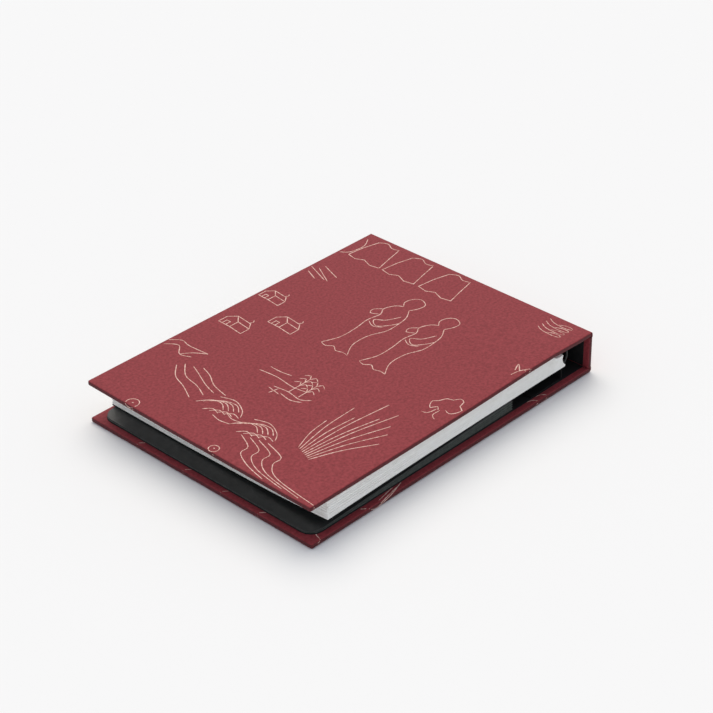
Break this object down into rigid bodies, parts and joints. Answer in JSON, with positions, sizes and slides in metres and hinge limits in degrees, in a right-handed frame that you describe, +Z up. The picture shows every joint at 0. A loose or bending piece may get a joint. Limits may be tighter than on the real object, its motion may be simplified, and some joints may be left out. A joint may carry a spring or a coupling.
{
  "type": "prayer book",
  "caption": "Small landscape hard-case prayer book: cloth-covered front, spine and back panels, a wire-bound page block and an expanding pocket inside the back cover.",
  "frame": {"origin": "centre of the closed book's underside, on the surface it lies on", "axes": "+X from the fore-edge to the spine, +Y from the tail to the head, +Z up through the front cover"},
  "size_m": [0.171, 0.13, 0.02],
  "materials": {
    "greyboard": "raw grey bookbinder's board",
    "covering_cloth": "matte dark red book cloth with pale line drawings",
    "lining_paper": "matte black lining paper",
    "pocket_card": "soft-sheen black card",
    "gusset_paper": "black folded paper, greyer along the folds",
    "binding_wire": "black coated steel wire",
    "backing_board": "matte black board",
    "page_paper": "uncoated white paper"
  },
  "bodies": {
    "back_cover": {"back_board": "greyboard", "back_covering": "covering_cloth", "back_lining": "lining_paper", "pocket_back": "pocket_card", "pocket_fore_fold": "pocket_card", "pocket_tail_gusset": "gusset_paper", "pocket_head_gusset": "gusset_paper", "wire_binding": "binding_wire", "wire_anchor": "backing_board"},
    "spine": {"spine_board": "greyboard", "spine_covering": "covering_cloth", "spine_lining": "lining_paper"},
    "front_cover": {"front_board": "greyboard", "front_covering": "covering_cloth", "front_lining": "lining_paper"},
    "pocket_flap": {"pocket_front": "pocket_card"},
    "backing": {"backing_card": "backing_board"},
    "pages_1": {"page_section_1": "page_paper"},
    "pages_2": {"page_section_2": "page_paper"},
    "pages_3": {"page_section_3": "page_paper"},
    "pages_4": {"page_section_4": "page_paper"},
    "pages_5": {"page_section_5": "page_paper"},
    "pages_6": {"page_section_6": "page_paper"},
    "pages_7": {"page_section_7": "page_paper"},
    "pages_8": {"page_section_8": "page_paper"}
  },
  "joints": [
    {"name": "spine_hinge", "type": "hinge", "parent": "back_cover", "child": "spine", "pos_m": [0.0855, 0, 0], "axis": [0, 1, 0], "range_deg": [0, 90]},
    {"name": "front_hinge", "type": "hinge", "parent": "spine", "child": "front_cover", "pos_m": [0.0855, 0, 0.02], "axis": [0, 1, 0], "range_deg": [0, 90]},
    {"name": "pocket_hinge", "type": "hinge", "parent": "back_cover", "child": "pocket_flap", "pos_m": [-0.0823, 0, 0.0029], "axis": [0, -1, 0], "range_deg": [0, 6]},
    {"name": "page_turn_1", "type": "hinge", "parent": "back_cover", "child": "pages_1", "pos_m": [0.0692, 0, 0.0127], "axis": [0, 1, 0], "range_deg": [0, 182]},
    {"name": "page_turn_2", "type": "hinge", "parent": "back_cover", "child": "pages_2", "pos_m": [0.0692, 0, 0.0127], "axis": [0, 1, 0], "range_deg": [0, 179]},
    {"name": "page_turn_3", "type": "hinge", "parent": "back_cover", "child": "pages_3", "pos_m": [0.0692, 0, 0.0127], "axis": [0, 1, 0], "range_deg": [0, 176]},
    {"name": "page_turn_4", "type": "hinge", "parent": "back_cover", "child": "pages_4", "pos_m": [0.0692, 0, 0.0127], "axis": [0, 1, 0], "range_deg": [0, 173]},
    {"name": "page_turn_5", "type": "hinge", "parent": "back_cover", "child": "pages_5", "pos_m": [0.0692, 0, 0.0127], "axis": [0, 1, 0], "range_deg": [0, 170]},
    {"name": "page_turn_6", "type": "hinge", "parent": "back_cover", "child": "pages_6", "pos_m": [0.0692, 0, 0.0127], "axis": [0, 1, 0], "range_deg": [0, 167]},
    {"name": "page_turn_7", "type": "hinge", "parent": "back_cover", "child": "pages_7", "pos_m": [0.0692, 0, 0.0127], "axis": [0, 1, 0], "range_deg": [0, 164]},
    {"name": "page_turn_8", "type": "hinge", "parent": "back_cover", "child": "pages_8", "pos_m": [0.0692, 0, 0.0127], "axis": [0, 1, 0], "range_deg": [0, 161]},
    {"name": "backing_turn", "type": "hinge", "parent": "back_cover", "child": "backing", "pos_m": [0.0692, 0, 0.0127], "axis": [0, 1, 0], "range_deg": [0, 156]}
  ],
  "couplings": [
    {"joint": "front_hinge", "follows": "spine_hinge", "ratio": 1},
    {"joint": "pocket_hinge", "follows": "spine_hinge", "ratio": 0.066667},
    {"joint": "page_turn_1", "follows": "spine_hinge", "ratio": 2.0222},
    {"joint": "page_turn_2", "follows": "spine_hinge", "ratio": 1.9889},
    {"joint": "page_turn_3", "follows": "spine_hinge", "ratio": 1.9556},
    {"joint": "page_turn_4", "follows": "spine_hinge", "ratio": 1.9222},
    {"joint": "page_turn_5", "follows": "spine_hinge", "ratio": 1.8889},
    {"joint": "page_turn_6", "follows": "spine_hinge", "ratio": 1.8556},
    {"joint": "page_turn_7", "follows": "spine_hinge", "ratio": 1.8222},
    {"joint": "page_turn_8", "follows": "spine_hinge", "ratio": 1.7889},
    {"joint": "backing_turn", "follows": "spine_hinge", "ratio": 1.7333}
  ]
}
